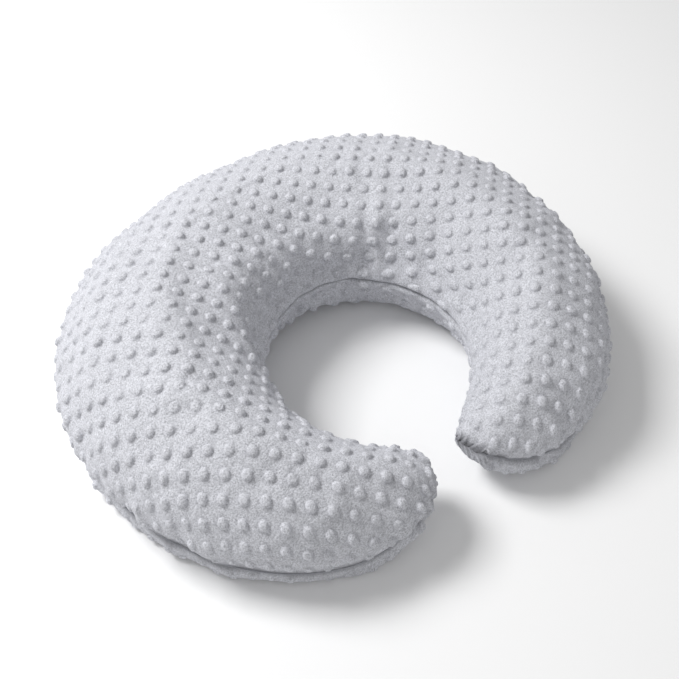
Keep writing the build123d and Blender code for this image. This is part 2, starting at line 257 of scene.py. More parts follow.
def section(direction, u, side, edge_inset=0.0, face_inset=0.0):
    """Across and height of a point on a section: u runs from the waist's seam, 0, to the outer seam, 1."""
    s = shape()
    inner, outer, taper = outline(direction)
    half = (outer - inner) / 2
    share_out = (direction / s.tip_direction) ** 2
    edge = np.maximum(half - edge_inset, 0)
    if side > 0:
        fullness, bulge = s.upper_fullness, swell(direction, FLANK_SWELLS)
        bulge = 1.5 * s.outer_tuck * sagging(direction) * taper + bulge
        # The line between the two seams hangs too, and the crown makes up for it.
        crown = (s.back_rise + swell(direction, RISE_SWELLS)) * (1 - s.arm_slump * share_out)
        crown = crown + s.outer_sag * sagging(direction) / 2
    else:
        fullness, bulge = s.lower_fullness, 0.0
        crown = s.underside_drop * (1 - 0.1 * share_out)
    flank = np.maximum(half * fullness - face_inset, 0)
    rise = np.maximum(crown * taper ** CROWN_TAPER - face_inset, 0)
    across = edge * (u ** 3 - (1 - u) ** 3) \
        + 3 * (flank + bulge) * u ** 2 * (1 - u) - 3 * flank * u * (1 - u) ** 2
    return (inner + outer) / 2 + across, 4 * rise * u * (1 - u)


def surface(direction, u, side, edge_inset=0.0, face_inset=0.0):
    """Points on one layer's upper or lower skin, resting on the floor."""
    reach, height = section(direction, u, side, edge_inset, face_inset)
    z = seam_height(direction, u) + side * height
    if side < 0:
        # The pillow's weight flattens its underside, with a round edge where it leaves the floor.
        floor = face_inset + PRESSED
        above = z - floor
        pressed = floor + (above + np.sqrt(above ** 2 + REST_ROUND ** 2)) / 2
        z = np.maximum(pressed - REST_LIFT * smooth(30 * MM, 10 * MM, z), floor)
    return from_waist(reach, direction, z)


def from_waist(reach, direction, z):
    """Point at a reach and direction from the waist's centre, and at a height."""
    y = shape().waist_centre + reach * np.cos(direction)
    return np.stack([reach * np.sin(direction), y, z], axis=-1)


def unit(vectors):
    return vectors / np.maximum(np.linalg.norm(vectors, axis=-1, keepdims=True), 1e-12)


def evenly(line, spacing):
    """Evenly spaced points on a closed line, and the distance along it to each."""
    line = np.concatenate([line, line[:1]])
    run = np.concatenate([[0], np.cumsum(np.linalg.norm(np.diff(line, axis=0), axis=1))])
    marks = np.linspace(0, run[-1], int(run[-1] / spacing), endpoint=False)
    return np.stack([np.interp(marks, run, column) for column in line.T], 1), marks


def between(table, row, column):
    """Values between the rows and columns of a table."""
    r0 = np.clip(row.astype(int), 0, len(table) - 2)
    c0 = np.clip(column.astype(int), 0, table.shape[1] - 2)
    form = (-1,) + (1,) * (table.ndim - 2)
    fr, fc = (row - r0).reshape(form), (column - c0).reshape(form)
    return ((table[r0, c0] * (1 - fc) + table[r0, c0 + 1] * fc) * (1 - fr)
            + (table[r0 + 1, c0] * (1 - fc) + table[r0 + 1, c0 + 1] * fc) * fr)


class FlatPattern:
    """The cloth of one panel laid flat. It is laid without stretch from the waist's seam, so that the
    dots keep their pitch, and its last row of faces takes up what is left before the outer seam."""

    def __init__(self, side, last):
        steps = np.linspace(-1, 1, PATTERN_ROWS)
        # Rows stand closer towards the tips, where the outline turns.
        self.directions = last * (0.55 * np.sin(steps * pi / 2) + 0.45 * steps)
        u = np.linspace(0, 1, PATTERN_COLUMNS)
        reach, height = section(self.directions[:, None], u[None], side)
        runs = np.sqrt(np.diff(reach, axis=1) ** 2 + np.diff(height, axis=1) ** 2)
        along = np.concatenate([np.zeros((len(reach), 1)), np.cumsum(runs, axis=1)], axis=1)
        self.girth = along[:, -1] * cover().pattern_stretch
        inner, outer, _ = outline(self.directions)
        self.middle = (inner + outer) / 2 + cover().pattern_shift
        share_along = along / np.maximum(self.girth[:, None], 1e-9)
        share_along[:, -1] = 1
        self.inverse = np.array([np.interp(u, row, u) for row in share_along])

    def rims(self, direction):
        girth = np.interp(direction, self.directions, self.girth)
        middle = np.interp(direction, self.directions, self.middle)
        return middle - girth / 2, middle + girth / 2

    def to_surface(self, flat):
        """Direction, share across 0..1 and section parameter of flat points."""
        direction = np.arctan2(flat[:, 0], flat[:, 1])
        inner, outer = self.rims(direction)
        across = (np.hypot(flat[:, 0], flat[:, 1]) - inner) / np.maximum(outer - inner, 1e-9)
        return direction, across, self.parameter(direction, across)

    def parameter(self, direction, across):
        row = np.interp(direction, self.directions, np.arange(PATTERN_ROWS))
        return between(self.inverse, row, np.clip(across, 0, 1) * (PATTERN_COLUMNS - 1))

    def boundary(self, spacing):
        """Closed rim of the flat pattern, evenly spaced, as flat points."""
        around = np.stack([np.sin(self.directions), np.cos(self.directions)], 1)
        inner, outer = self.rims(self.directions)
        rim_in, rim_out = inner[:, None] * around, outer[:, None] * around
        return evenly(np.concatenate([rim_in, rim_out[::-1]]), spacing)[0]


def waves(seed, position, wavelength, count=7):
    """Smooth repeatable wave along a length, between about -1 and 1."""
    draw = np.random.default_rng(seed)
    total = np.zeros_like(position)
    for _ in range(count):
        stretch = wavelength * draw.uniform(0.7, 1.5)
        total += np.sin(2 * pi * position / stretch + draw.uniform(0, 2 * pi))
    return total / sqrt(count) / 1.2


def smooth(low, high, value):
    t = np.clip((value - low) / (high - low), 0, 1)
    return t * t * (3 - 2 * t)


def dot_lattice():
    """The two steps from one dot to the next, and where a dot stands, on the flat pattern."""
    c = cover()
    waves_across = np.array([[cos(turned) / pitch, sin(turned) / pitch] for turned, pitch in
                             ((c.row_direction, c.row_pitch), (c.column_direction, c.column_pitch))])
    return np.linalg.inv(waves_across).T, np.array([c.pattern_x, c.pattern_y])


def nearest_dot(flat, steps, start):
    """Distance from flat points to the nearest dot's centre."""
    cell = (flat - start) @ np.linalg.inv(steps)
    base = np.round(cell)
    best = np.full(len(flat), np.inf)
    for i in (-1, 0, 1):
        for j in (-1, 0, 1):
            centre = (base + [i, j]) @ steps + start
            best = np.minimum(best, np.hypot(*(flat - centre).T))
    return best


# A dot from its middle out: shares of its radius, of its height, and mesh points on each ring.
DOT_DIP = 0.09                # dip round its foot
DOT_RINGS = (0.0, 0.34, 0.62, 0.82, 0.95, 1.08, 1.5)
DOT_HEIGHTS = (1.0, 0.98, 0.90, 0.58, 0.08, -DOT_DIP, 0.0)
DOT_SPOKES = (1, 6, 10, 14, 14, 14)


def dot_profile(distance, radius):
    """Height share of a dot: a full dome with a steep side and a slight dip round its foot."""
    return np.interp(distance / radius, DOT_RINGS, DOT_HEIGHTS)


def vertex_normals(points, faces):
    a, b, c = points[faces[:, 0]], points[faces[:, 1]], points[faces[:, 2]]
    across = np.cross(b - a, c - a)
    normals = np.zeros_like(points)
    for k in range(3):
        np.add.at(normals, faces[:, k], across)
    return unit(normals)


def grid_faces(rows, columns, wrap=False, closed=False):
    """Faces of a grid of points. Wrap joins its last column to its first, and closed its last row."""
    i = np.arange(rows if closed else rows - 1)[:, None]
    j = np.arange(columns if wrap else columns - 1)[None]
    after, k = (i + 1) % rows, (j + 1) % columns
    quads = np.stack([i * columns + j, i * columns + k, after * columns + k, after * columns + j], -1)
    return [tuple(f) for f in quads.reshape(-1, 4).tolist()]


def end_caps(rows, columns):
    """Faces that close the two ends of a wrapped grid."""
    return [tuple(range(columns))[::-1], tuple(range((rows - 1) * columns, rows * columns))]


def make_piece(name, points, faces, material):
    mesh = bpy.data.meshes.new(name)
    mesh.from_pydata(points.tolist(), [], [list(f) for f in faces])
    mesh.update()
    mesh.shade_smooth()
    piece = bpy.data.objects.new(name, mesh)
    bpy.context.scene.collection.objects.link(piece)
    mesh.materials.append(material)
    return piece


# ---- stuffing the cover ----
SIM_ROWS, SIM_COLUMNS = 260, 36
SIM_FRAMES = 14
SIM_OUT, SIM_IN = 3.5 * MM, 1.6 * MM   # the furthest a simulated fold may stand out or sink
SIM_SMOOTHING = 60            # passes that leave only the broad movement, which isn't used
SIM_FABRIC = {
    "quality": 4, "mass": 0.3, "tension_stiffness": 25, "compression_stiffness": 25,
    "shear_stiffness": 5, "bending_stiffness": 0.05, "use_pressure": True,
    "uniform_pressure_force": 1.5, "vertex_group_shrink": "seam", "shrink_min": -0.03,
    "shrink_max": 0.06}


def sim_spread():
    """Section parameter of the coarse copy's columns, closer together towards the seams."""
    even = np.linspace(0, 1, SIM_COLUMNS + 1)
    return (1 - np.cos(even * pi)) * 0.15 + even * 0.7


def simulated_folds():
    """Swells a coarse closed copy of the cover under pressure while its seam is drawn tight.
    Returns the directions of its rows and the small folds, as offsets on each panel's grid."""
    even = np.linspace(-1, 1, SIM_ROWS)
    angles = (shape().tip_direction - 0.02) * (0.6 * np.sin(even * pi / 2) + 0.4 * even)
    u = sim_spread()
    upper = surface(angles[:, None], u[None], 1)
    lower = surface(angles[:, None], u[None, ::-1][:, 1:-1], -1)
    loop = np.concatenate([upper, lower], axis=1)
    rows, columns = loop.shape[:2]
    quads = grid_faces(rows, columns, wrap=True)
    blank = make_piece("cover_blank", loop.reshape(-1, 3), quads + end_caps(rows, columns),
                       bpy.data.materials.new("blank"))
    seam = blank.vertex_groups.new(name="seam")
    for k, weight in ((0, 1.0), (1, 0.5), (columns - 1, 0.5), (SIM_COLUMNS, 1.0),
                      (SIM_COLUMNS - 1, 0.5), (SIM_COLUMNS + 1, 0.5)):
        seam.add([row * columns + k for row in range(rows)], weight, "REPLACE")
    cloth = blank.modifiers.new("Cloth", "CLOTH")
    for key, value in SIM_FABRIC.items():
        setattr(cloth.settings, key, value)
    cloth.settings.effector_weights.gravity = 0
    cloth.point_cache.frame_start, cloth.point_cache.frame_end = 1, SIM_FRAMES
    for frame_number in range(1, SIM_FRAMES + 1):
        bpy.context.scene.frame_set(frame_number)
    settled = blank.evaluated_get(bpy.context.evaluated_depsgraph_get()).to_mesh()
    moved = np.empty(rows * columns * 3)
    settled.vertices.foreach_get("co", moved)
    moved = moved.reshape(rows, columns, 3) - loop
    bpy.data.objects.remove(blank)
    bpy.context.scene.frame_set(1)
    broad = moved
    for _ in range(SIM_SMOOTHING):
        across = (np.roll(broad, 1, axis=1) + np.roll(broad, -1, axis=1)) / 2
        along = broad.copy()
        along[1:-1] = (broad[2:] + broad[:-2]) / 2
        broad = (broad * 2 + across + along) / 4
    halves = [f[:3] for f in quads] + [(f[0], f[2], f[3]) for f in quads]
    normal = vertex_normals(loop.reshape(-1, 3), np.array(halves)).reshape(loop.shape)
    middle = loop.mean(axis=1, keepdims=True)
    normal *= np.sign(np.sum(normal * (loop - middle), axis=-1, keepdims=True))
    rise = np.sum((moved - broad) * normal, axis=-1, keepdims=True)
    limit = np.where(rise > 0, SIM_OUT, SIM_IN)
    return angles, normal * limit * np.tanh(rise / limit)


def fold_offset(folded, direction, u, side):
    """Folds of the simulated cover at points of one panel."""
    angles, folds = folded
    column = np.interp(u, sim_spread(), np.arange(SIM_COLUMNS + 1))
    if side < 0:
        column = 2 * SIM_COLUMNS - column
    row = np.interp(direction, angles, np.arange(SIM_ROWS))
    return between(np.concatenate([folds, folds[:, :1]], axis=1), row, column)


# ---- the cover's panels ----
def pattern_points(rim, inside):
    """Points inside a flat pattern: rings for each dot, and an even ground between the dots."""
    c = cover()
    steps, start = dot_lattice()
    reach_limit = np.abs(rim).max() + 0.02
    count = int(reach_limit / min(c.row_pitch, c.column_pitch)) + 4
    grid = np.array([(i, j) for i in range(-count, count + 1) for j in range(-count, count + 1)])
    centres = grid @ steps + start
    centres = centres[np.hypot(*centres.T) < reach_limit * 1.2]
    dots = []
    for share_out, spokes in zip(DOT_RINGS, DOT_SPOKES):
        for k in range(spokes):
            angle = 2 * pi * (k + 0.5 * (spokes > 10)) / spokes
            dots.append(centres + share_out * c.dot_radius * np.array([cos(angle), sin(angle)]))
    rows = int(reach_limit / GROUND_SPACING) + 2
    i, j = np.meshgrid(np.arange(-rows, rows + 1), np.arange(-rows * 1.2, rows * 1.2 + 1))
    ground = np.stack([(i + 0.5 * (j % 2)).ravel() * GROUND_SPACING,
                       j.ravel() * GROUND_SPACING * sqrt(3) / 2], 1)
    ground = ground[nearest_dot(ground, steps, start) > c.dot_radius * 1.32]
    return np.concatenate([inside(np.concatenate(dots), 0.8 * MM), inside(ground, 1.3 * MM)])


def cut_cloth(pattern, rim, inner_points, last):
    """Triangles over a flat pattern: its points, its faces and the rim's places among the points."""
    edges = [(k, (k + 1) % len(rim)) for k in range(len(rim))]
    result = delaunay_2d_cdt([Vector(p) for p in np.concatenate([rim, inner_points])], edges, [], 1,
                             1e-7, True)
    flat = np.array([tuple(v) for v in result[0]])
    faces = np.array(result[2])
    origin = {src: k for k, sources in enumerate(result[3]) for src in sources}
    rim_index = np.array([origin[k] for k in range(len(rim))])
    # Faces across the waist hollow and the mouth are left out.
    centre = flat[faces].mean(axis=1)
    direction, reach = np.arctan2(centre[:, 0], centre[:, 1]), np.hypot(*centre.T)
    low, high = pattern.rims(direction)
    within = (np.abs(direction) < last) & (reach > low) & (reach < high)
    on_rim = np.zeros(len(flat), bool)
    on_rim[rim_index] = True
    corners = flat[faces]
    longest = np.linalg.norm(corners - np.roll(corners, 1, axis=1), axis=2).max(axis=1)
    kept = (within | ~on_rim[faces].all(axis=1)) & (longest < LONGEST_EDGE)
    return flat, faces[kept], rim_index


def turned_in(points, rim_index, direction, side):
    """Rows of points and faces behind the rim, where the cloth turns in at the seam."""
    base = points[rim_index]
    inward = middle_line(direction[rim_index]) - base
    inward[:, 2] = 0
    inward = unit(inward)
    rows, faces, ring = [], [], rim_index
    for depth in TURN_IN:
        row = base + inward * depth
        row[:, 2] += side * 0.15 * depth
        behind = len(points) + len(base) * len(rows) + np.arange(len(base))
        rows.append(row)
        quads = np.stack([ring, behind, np.roll(behind, -1), np.roll(ring, -1)], 1)
        faces += [tuple(f) for f in (quads if side > 0 else quads[:, ::-1]).tolist()]
        ring = behind
    return rows, faces


def cover_panel(name, side, material, folded):
    """One panel of the cover, from its flat pattern to its folds, dots and seam."""
    last = shape().tip_direction - 0.0008
    pattern = FlatPattern(side, last)
    rim = pattern.boundary(RIM_SPACING)
    tree = KDTree(len(rim))
    for i, point in enumerate(rim):
        tree.insert((*point, 0), i)
    tree.balance()

    def inside(flat, margin):
        direction, reach = np.arctan2(flat[:, 0], flat[:, 1]), np.hypot(*flat.T)
        inner, outer = pattern.rims(direction)
        picked = np.flatnonzero((np.abs(direction) < last) & (reach > inner) & (reach < outer))
        gaps = np.array([tree.find((*flat[i], 0))[2] for i in picked])
        return flat[picked[gaps > margin]]

    flat, faces, rim_index = cut_cloth(pattern, rim, pattern_points(rim, inside), last)
    direction, across, u = pattern.to_surface(flat)
    direction = np.clip(direction, -last, last)
    u[rim_index] = np.round(across[rim_index])
    gap = np.array([tree.find((*p, 0))[2] for p in flat])
    gap[rim_index] = 0
    points = surface(direction, u, side)
    points += fold_offset(folded, direction, u, side) * (1 - zip_calm(direction, u))[:, None]
    if side < 0:
        faces = faces[:, ::-1]
    normals = vertex_normals(points, faces)
    if normals[:, 2].mean() * side < 0:
        faces = faces[:, ::-1]
        normals = -normals

    points = points + normals * relief(pattern, flat, direction, across, gap, side)[:, None]
    points = points + seam_form(direction, u, gap, side) + tip_lips(points, side)
    points[:, 2] = np.maximum(points[:, 2], 0.0)
    rows, flange = turned_in(points, rim_index, direction, side)
    piece = make_piece(name, np.concatenate([points] + rows),
                       [tuple(f) for f in faces.tolist()] + flange, material)
    # Painted shade: the plush is darkened round the foot of each dot and, more, in the seam's crease.
    flat = np.concatenate([flat] + [flat[rim_index]] * len(rows))
    gap = np.concatenate([gap] + [np.zeros(len(rim))] * len(rows))
    foot = -dot_profile(nearest_dot(flat, *dot_lattice()), cover().dot_radius) / DOT_DIP
    painted_shade = np.maximum(0.2 * np.clip(foot, 0, 1), 0.7 * np.exp(-(gap / (1.1 * MM)) ** 2))
    layer = piece.data.attributes.new("painted_shade", "FLOAT", "POINT")
    layer.data.foreach_set("value", painted_shade.astype(np.float32))
    return piece


def middle_line(direction):
    inner, outer, _ = outline(direction)
    return from_waist((inner + outer) / 2, direction, seam_height(direction))


def relief(pattern, flat, direction, across, gap, side):
    """Height of dots, gathers and slow unevenness above the plain skin."""
    c = cover()
    steps, start = dot_lattice()
    dots = dot_profile(nearest_dot(flat, steps, start), c.dot_radius) * c.dot_height
    dots *= smooth(1.0 * MM, 5.5 * MM, gap)
    dots *= 0.88 + 0.22 * waves(81 + side, flat[:, 0] + 0.6 * flat[:, 1], 60 * MM)
    if side < 0:
        pressed = surface(direction, pattern.parameter(direction, across), side)[:, 2]
        dots *= 0.15 + 0.85 * smooth(1 * MM, 14 * MM, pressed)
    inner, outer = pattern.rims(direction)
    outside = across > 0.5
    run = np.where(outside, outer, inner) * direction
    away = np.where(outside, 1 - across, across) * (outer - inner)
    puckers = sum(strength * waves(seed + side, run, wavelength) * np.exp(-away / fade)
                  * smooth(0, start_in, away) for seed, wavelength, fade, start_in, strength in GATHERS)
    puckers *= np.where(outside, 1.0, 0.35) * c.pucker_height
    over_waist = smooth(1.5, 0.6, np.abs(direction))
    over_waist *= smooth(0.0, 0.10, across) * smooth(0.5, 0.22, across)
    gathers = waves(31 + side, inner * direction, 11 * MM) * over_waist * c.gather_height
    slow = waves(41 + side, flat[:, 0], 95 * MM) + waves(51 + side, flat[:, 1], 80 * MM)
    slow = slow * 0.7 * MM * smooth(0, 40 * MM, gap)
    return dots + puckers + gathers + slow


def seam_form(direction, u, gap, side):
    """The seam is drawn in, wanders a little, and parts into two lips along the zip.
    Beside the zip it neither wanders nor is drawn in, so that the slider runs clear."""
    inner, outer, _ = outline(direction)
    outside = u > 0.5
    free = 1 - zip_calm(direction, u)
    drawn = np.sign(0.5 - u) * cover().groove_depth * np.exp(-(gap / GROOVE_WIDTH) ** 1.3)
    run = np.where(outside, outer, inner) * direction
    wander = np.exp(-gap / WANDER_FADE) * np.where(outside, 1.0, 0.3)
    sideways = (drawn + waves(71, run, SEAM_PUSH_LENGTH) * SEAM_PUSH * wander) * free
    upwards = waves(61, run, SEAM_RISE_LENGTH) * SEAM_RISE * wander * free
    upwards += side * zip_opening(direction) * outside * LIP_ROLL * np.exp(-(gap / LIP_FADE) ** 1.2)
    return np.stack([sideways * np.sin(direction), sideways * np.cos(direction), upwards], axis=-1)


def tip_lips(points, side):
    """At the left arm's tip the seam gapes a little, and its two lips roll apart."""
    tip = np.array([-shape().tip_direction + 0.02])
    inner, outer, _ = outline(tip)
    at = from_waist((inner + outer) / 2 + 3 * MM, tip, seam_height(tip))
    near = np.exp(-(np.linalg.norm((points - at) * [1, 1, 0.7], axis=1) / (8 * MM)) ** 2)
    return side * cover().tip_gape * near[:, None] * UP


def zip_span(direction):
    """Seen from the back arc's centre, how far along the back a point on the seam is."""
    s = shape()
    _, outer, _ = outline(direction)
    back_y = s.back_reach - s.back_arc
    return np.abs(np.arctan2(outer * np.sin(direction), outer * np.cos(direction) - back_y))


def zip_half():
    """Half the zip, as an angle about the back arc's centre."""
    return asin(ZIP_HIGH.x / (shape().back_arc - ZIP_DEPTH))


def along_zip(direction, none, full):
    """1 along the zip, and 0 from one distance past its end; full at the other."""
    arc = shape().back_arc
    return smooth(zip_half() + none / arc, zip_half() + full / arc, zip_span(direction))


def zip_opening(direction):
    return along_zip(direction, 6 * MM, -2 * MM)


def zip_calm(direction, u):
    return along_zip(direction, 30 * MM, 4 * MM) * (u > 0.5)


# ---- threads, coils and inner layers ----
def tube(name, path, reference, radius, material, sides=5, closed=False):
    """Mesh tube along a path. The reference directions lie across the path; radius may vary along it."""
    count = len(path)
    ahead = np.roll(path, -1, axis=0) - np.roll(path, 1, axis=0)
    if not closed:
        ahead[0], ahead[-1] = path[1] - path[0], path[-1] - path[-2]
    first = unit(np.cross(ahead, reference))[:, None]
    second = unit(np.cross(ahead, first[:, 0]))[:, None]
    around = (2 * pi * np.arange(sides) / sides)[None, :, None]
    radius = np.broadcast_to(radius, count)[:, None, None]
    rings = path[:, None] + radius * (first * np.cos(around) + second * np.sin(around))
    faces = grid_faces(count, sides, wrap=True, closed=closed)
    if not closed:
        faces += end_caps(count, sides)
    return make_piece(name, rings.reshape(-1, 3), faces, material)


def stitch_row(name, path, marks, lift, girth, material, closed=False):
    """Row of stitches: the thread rises and swells once a stitch. Lift and girth are a least size
    and what a stitch adds to it, in millimetres."""
    stitch = np.abs(np.sin(pi * marks / STITCH))
    path = path + UP * (lift[0] + lift[1] * stitch)[:, None] * MM
    return tube(name, path, np.broadcast_to(UP, path.shape), (girth[0] + girth[1] * stitch) * MM,
                material, closed=closed)


def layer_end(edge_inset):
    """Direction at which a layer is too narrow to go on towards the tip."""
    angles = np.linspace(shape().waist_arc, shape().tip_direction, 2000)
    inner, outer, _ = outline(angles)
    return angles[np.flatnonzero(outer - inner > 2 * edge_inset + 6 * MM)[-1]]


def seam_loop(edge_inset, spacing):
    """Closed path inside the seam, evenly spaced, with the distance along it to each point."""
    angles = layer_end(edge_inset) * np.sin(np.linspace(-1, 1, 4001) * pi / 2)
    inner, outer, _ = outline(angles)
    reach = np.concatenate([inner + edge_inset, (outer - edge_inset)[::-1]])
    angle = np.concatenate([angles, angles[::-1]])
    u = np.repeat([0.0, 1.0], len(angles))
    return evenly(from_waist(reach, angle, seam_height(angle, u)), spacing)


def open_at_zip(path, marks):
    """The part of a seam loop that isn't along the zip, starting and ending beside it."""
    s = shape()
    x, y = path[:, 0], path[:, 1] - s.waist_centre - (s.back_reach - s.back_arc)
    at_waist = np.hypot(x, path[:, 1] - s.waist_centre) < s.back_reach * 0.6
    beside = at_waist | (np.abs(np.arctan2(x, y)) > zip_half() + 4 * MM / s.back_arc)
    first = np.flatnonzero(~beside)[-1] + 1
    order = np.roll(np.arange(len(path)), -first)
    return path[order[:beside.sum()]], marks[:beside.sum()]


def lumps(points, seed, size, height):
    """Soft unevenness of a stuffed layer, as an offset for each point."""
    total = sum(waves(seed + k, points @ axis, size) for k, axis in
                enumerate(np.array([(1, 0.2, 0), (-0.3, 1, 0.1), (0.2, 0.3, 1)])))
    return total[..., None] * height / 2


def case_panel(name, side, material):
    """One half of the woven inner case, with its allowance turned in."""
    edge, face = CASE_EDGE, CASE_FACE
    angles = layer_end(edge) * np.sin(np.linspace(-1, 1, 301) * pi / 2)[:, None]
    seams = np.array([0.0, 1.0])
    skin = surface(angles, np.linspace(0, 1, 61), side, edge, face)
    skin += lumps(skin, 200 + side, 70 * MM, 0.8 * MM)
    turned = surface(angles, seams, side, edge + CASE_ALLOWANCE, face)
    turned[..., 2] = seam_height(angles, seams) + side * 0.6 * MM
    grid = np.concatenate([turned[:, :1], skin, turned[:, 1:]], axis=1)
    rows, columns = grid.shape[:2]
    faces = grid_faces(rows, columns)
    if side < 0:
        faces = [f[::-1] for f in faces]
    panel = make_piece(name, grid.reshape(-1, 3), faces, material)
    thick = panel.modifiers.new("cloth", "SOLIDIFY")
    thick.thickness, thick.offset = 0.5 * MM, -1
    return panel


def fibre_batt(name, material):
    """Loose fibre filling, lumpy all over and closed at the tips."""
    angles = layer_end(FILL_EDGE) * np.sin(np.linspace(-1, 1, 221) * pi / 2)[:, None]
    u = (1 - np.cos(np.linspace(0, 1, 49) * pi)) / 2
    upper = surface(angles, u, 1, FILL_EDGE, FILL_FACE)
    lower = surface(angles, u[::-1], -1, FILL_EDGE, FILL_FACE)
    grid = np.concatenate([upper, lower[:, 1:-1]], axis=1)
    grid += lumps(grid, 300, 24 * MM, 1.0 * MM)
    rows, columns = grid.shape[:2]
    faces = grid_faces(rows, columns, wrap=True) + end_caps(rows, columns)
    return make_piece(name, grid.reshape(-1, 3), faces, material)


def zip_place(angle, depth, height):
    """Point on the zip: angle about the back arc's centre, depth inside the back's outline."""
    s = shape()
    return from_waist(s.back_arc - depth, angle, SEAM_Z + height) + [0, s.back_reach - s.back_arc, 0]


def zip_coil(name, low, high, phase, material):
    """Nylon filament wound into a flat spiral along one tape's edge."""
    arc = shape().back_arc
    end = asin(high.x / (arc - ZIP_DEPTH)) - 0.5 * MM / arc
    turns = 2 * end * arc / COIL_PITCH
    steps = int(turns * 14)
    angle = np.linspace(-end, end, steps)
    wind = 2 * pi * turns * np.linspace(0, 1, steps) + phase
    middle, half_height = (low.z + high.z) / 2 - SEAM_Z, (high.z - low.z) / 2 - COIL_WIRE
    path = zip_place(angle, ZIP_DEPTH + COIL_DEPTH - (COIL_DEPTH - COIL_WIRE) * np.cos(wind),
                     middle + half_height * np.sin(wind))
    along = np.stack([np.cos(angle), -np.sin(angle), np.zeros(steps)], 1)
    return tube(name, path, along, COIL_WIRE, material, sides=6)


def care_label(name, material):
    """Blank satin label, sewn into the outer seam and lying against the lower panel's inside."""
    c = cover()
    width, drop, thick = LABEL
    pattern = FlatPattern(-1, shape().tip_direction - 0.001)
    _, outer, _ = outline(np.array([LABEL_DIRECTION]))
    angles = LABEL_DIRECTION + np.linspace(-0.5, 0.5, 14) * width / (outer[0] - 14 * MM)
    girth = np.interp(LABEL_DIRECTION, pattern.directions, pattern.girth) / c.pattern_stretch
    down = np.linspace(2 * MM, 2 * MM + drop, 18)
    a, d = np.meshgrid(angles, down, indexing="ij")
    u = pattern.parameter(a.ravel(), 1 - d.ravel() / girth).reshape(a.shape)
    inside = 2.6 * MM
    near = surface(a, u, -1, inside, inside) + lumps(np.stack([a, d, u], -1), 400, 0.02, 0.3 * MM)
    label = make_piece(name, near.reshape(-1, 3), grid_faces(*a.shape), material)
    solid = label.modifiers.new("ribbon", "SOLIDIFY")
    solid.thickness, solid.offset = thick, 0
    return label


# ---- materials ----
def add(material, kind, links=None, sockets=None, **settings):
    """Adds a node with its settings, and the values and links of its input sockets."""
    node = material.node_tree.nodes.new(kind)
    for key, value in settings.items():
        if key in node.inputs:
            node.inputs[key].default_value = value
        else:
            setattr(node, key, value)
    for key, value in (sockets or {}).items():
        node.inputs[key].default_value = value
    for key, source in (links or {}).items():
        material.node_tree.links.new(source, node.inputs[key])
    return node


def new_material(name, colour, **sockets):
    material = bpy.data.materials.new(name)
    material.use_nodes = True
    shader = material.node_tree.nodes["Principled BSDF"]
    shader.inputs["Base Color"].default_value = (*colour, 1)
    for key, value in sockets.items():
        shader.inputs[key].default_value = value
    return material


def feed(material, sources):
    """Links output sockets to the shader's inputs."""
    shader = material.node_tree.nodes["Principled BSDF"]
    for key, source in sources.items():
        material.node_tree.links.new(source, shader.inputs[key])


def shaded(colour, strength):
    """The colour made darker, or lighter up to white."""
    return (*[min(v * strength, 1) for v in colour], 1)


def plush_material():
    """Brushed polyester plush: short dense pile, soft edge light, no gloss, faint mottling."""
    c = cover()
    material = new_material("plush", c.plush, **{
        "Roughness": 0.95, "Specular IOR Level": 0.2, "Sheen Weight": 0.35, "Sheen Roughness": 0.45,
        "Sheen Tint": (*c.plush, 1)})
    place = add(material, "ShaderNodeTexCoord").outputs["Object"]
    tufts = add(material, "ShaderNodeTexNoise", {"Vector": place}, Scale=TUFT / PILE, Detail=3.0,
                Roughness=0.7)
    spread = add(material, "ShaderNodeMapRange", {"Value": tufts.outputs["Fac"]},
                 {"From Min": 0.34, "From Max": 0.66})
    nap = add(material, "ShaderNodeTexNoise", {"Vector": place}, Scale=60.0, Detail=2.0, Roughness=0.5)
    mottle = add(material, "ShaderNodeMix", {"Factor": spread.outputs["Result"]},
                 {6: shaded(c.plush, 0.68), 7: shaded(c.plush, 1.32)}, data_type="RGBA")
    # Painted shade: round the foot of each dot and, more, in the seam's crease, the colour is mixed towards a
    # darkened copy of the backing.
    painted_shade = add(material, "ShaderNodeAttribute", attribute_name="painted_shade")
    shade = add(material, "ShaderNodeMix", {"Factor": painted_shade.outputs["Fac"], 6: mottle.outputs[2]},
                {7: shaded(c.backing, 0.55)}, data_type="RGBA")
    fine = add(material, "ShaderNodeBump", {"Height": tufts.outputs["Fac"]}, Strength=1.0,
               Distance=1.6 * PILE)
    soft = add(material, "ShaderNodeBump", {"Height": nap.outputs["Fac"], "Normal": fine.outputs["Normal"]},
               Strength=0.3, Distance=2 * MM)
    feed(material, {"Base Color": shade.outputs[2], "Normal": soft.outputs["Normal"]})
    return material


def woven(name, colour, thread, roughness=0.85, relief=0.3, sheen=0.1):
    """Plain weave: two crossing sets of threads, each lit on its crown, with slightly uneven yarn."""
    material = new_material(name, colour, **{
        "Roughness": roughness, "Sheen Weight": sheen, "Specular IOR Level": 0.3})
    place = add(material, "ShaderNodeTexCoord").outputs["Object"]
    warp, weft = [add(material, "ShaderNodeTexWave", {"Vector": place}, bands_direction=direction,
                      Scale=BAND / thread, Distortion=0.6, Detail=1.0) for direction in ("X", "Z")]
    cross = add(material, "ShaderNodeMath", {0: warp.outputs["Fac"], 1: weft.outputs["Fac"]},
                operation="MAXIMUM")
    slub = add(material, "ShaderNodeTexNoise", {"Vector": place}, Scale=0.2 / thread, Detail=2.0)
    tone = add(material, "ShaderNodeMix", {"Factor": slub.outputs["Fac"]},
               {6: shaded(colour, 0.85), 7: shaded(colour, 1.1)}, data_type="RGBA")
    bump = add(material, "ShaderNodeBump", {"Height": cross.outputs[0]}, Strength=relief, Distance=thread)
    feed(material, {"Base Color": tone.outputs[2], "Normal": bump.outputs["Normal"]})
    return material


